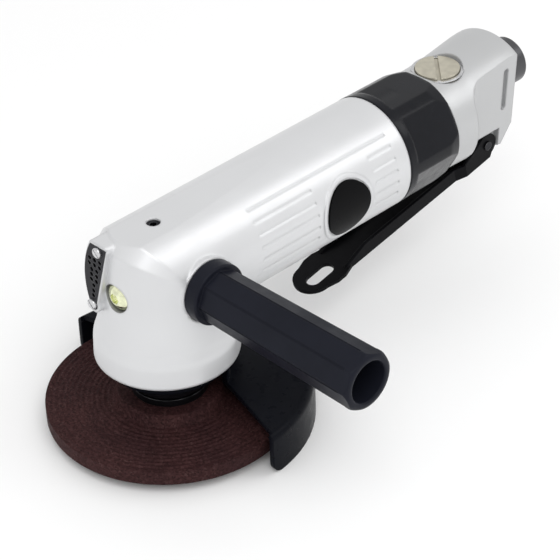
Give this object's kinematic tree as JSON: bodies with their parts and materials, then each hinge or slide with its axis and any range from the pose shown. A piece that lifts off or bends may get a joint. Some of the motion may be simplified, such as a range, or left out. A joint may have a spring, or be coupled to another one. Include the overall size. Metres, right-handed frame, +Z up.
{
  "type": "air angle grinder",
  "caption": "Air-driven angle grinder with a depressed-centre wheel, half guard, side handle, throttle lever, air regulator and threaded air inlet.",
  "frame": {"origin": "on the spindle axis, in the lower face of the wheel nut", "axes": "+Z up along the spindle away from the wheel, +X back along the motor to the air inlet, -Y out along the side handle"},
  "size_m": [0.2519, 0.1645, 0.0961],
  "materials": {
    "casting": "satin silver-white coating",
    "collar_black": "glossy black coating",
    "sheet_black": "satin black paint",
    "grip_plastic": "satin blue-black plastic",
    "disc_black": "plain black, left bare",
    "abrasive": "dark brown resin-bonded grit",
    "dark_steel": "blackened steel",
    "zinc_bolt": "yellow zinc plate",
    "regulator_brass": "dull turned brass",
    "motor_iron": "ground",
    "vane_resin": "fibre-filled resin",
    "seal_rubber": "matte",
    "felt": "pressed felt",
    "steel": "bright steel"
  },
  "bodies": {
    "housing": {"bearing_cap": "dark_steel", "bearing_ring": "steel", "coupling_nut": "collar_black", "coupling_ring": "steel", "cylinder_pin": "steel", "exhaust_grille": "dark_steel", "exhaust_muffler": "felt", "front_bolt": "zinc_bolt", "front_end_plate": "motor_iron", "front_rotor_bearing_balls": "steel", "front_rotor_bearing_outer_ring": "steel", "grease_plug": "steel", "grille_screws": "steel", "handle_bolt": "steel", "inlet_bushing": "dark_steel", "inlet_seal": "seal_rubber", "inlet_strainer": "regulator_brass", "lever_pin": "steel", "lower_bearing_balls": "steel", "lower_bearing_outer_ring": "steel", "motor_cylinder": "motor_iron", "motor_gasket": "seal_rubber", "motor_housing": "casting", "plunger_bush": "regulator_brass", "rear_end_plate": "motor_iron", "rear_handle": "casting", "rear_rotor_bearing_balls": "steel", "rear_rotor_bearing_outer_ring": "steel", "regulator_ring": "steel", "side_disc": "disc_black", "side_handle": "grip_plastic", "spindle_seal": "felt", "upper_bearing_balls": "steel", "upper_bearing_outer_ring": "steel", "valve_spring": "steel"},
    "spindle": {"spindle": "steel", "bevel_gear": "steel", "gear_key": "steel", "gear_nut": "steel", "wheel_flange": "dark_steel", "grinding_wheel": "abrasive", "wheel_nut": "steel", "lower_bearing_inner_ring": "steel", "upper_bearing_inner_ring": "steel"},
    "rotor": {"rotor": "steel", "rotor_vanes": "vane_resin", "bevel_pinion": "steel", "pinion_nut": "steel", "front_rotor_bearing_inner_ring": "steel", "rear_rotor_bearing_inner_ring": "steel"},
    "guard": {"wheel_guard": "sheet_black", "guard_clamp_screw": "steel", "guard_clamp_nut": "steel"},
    "lever": {"throttle_lever": "sheet_black"},
    "plunger": {"throttle_plunger": "steel", "valve_washer": "seal_rubber"},
    "regulator": {"air_regulator": "regulator_brass", "regulator_seal": "seal_rubber"}
  },
  "joints": [
    {"name": "spindle_spin", "type": "hinge", "parent": "housing", "child": "spindle", "pos_m": [0, 0, 0.04], "axis": [0, 0, 1], "continuous": true},
    {"name": "rotor_spin", "type": "hinge", "parent": "housing", "child": "rotor", "pos_m": [0.06, 0, 0.065], "axis": [1, 0, 0], "continuous": true},
    {"name": "guard_turn", "type": "hinge", "parent": "housing", "child": "guard", "pos_m": [0, 0, 0.0176], "axis": [0, 0, 1], "range_deg": [-60, 60]},
    {"name": "lever_press", "type": "hinge", "parent": "housing", "child": "lever", "pos_m": [0.1755, 0, 0.0448], "axis": [0, 1, 0], "range_deg": [0, 8], "stiffness_Nm_per_rad": 1.5, "springref_deg": -11.46},
    {"name": "plunger_slide", "type": "slide", "parent": "housing", "child": "plunger", "axis": [0, 0, 1], "range_m": [0, 0.0028], "deforming": ["valve_spring"]},
    {"name": "regulator_turn", "type": "hinge", "parent": "housing", "child": "regulator", "pos_m": [0.156, 0, 0.08], "axis": [0, 0, 1], "range_deg": [0, 90]}
  ],
  "couplings": [
    {"joint": "rotor_spin", "follows": "spindle_spin", "ratio": 2},
    {"joint": "plunger_slide", "follows": "lever_press", "m_per_rad": 0.0195}
  ]
}
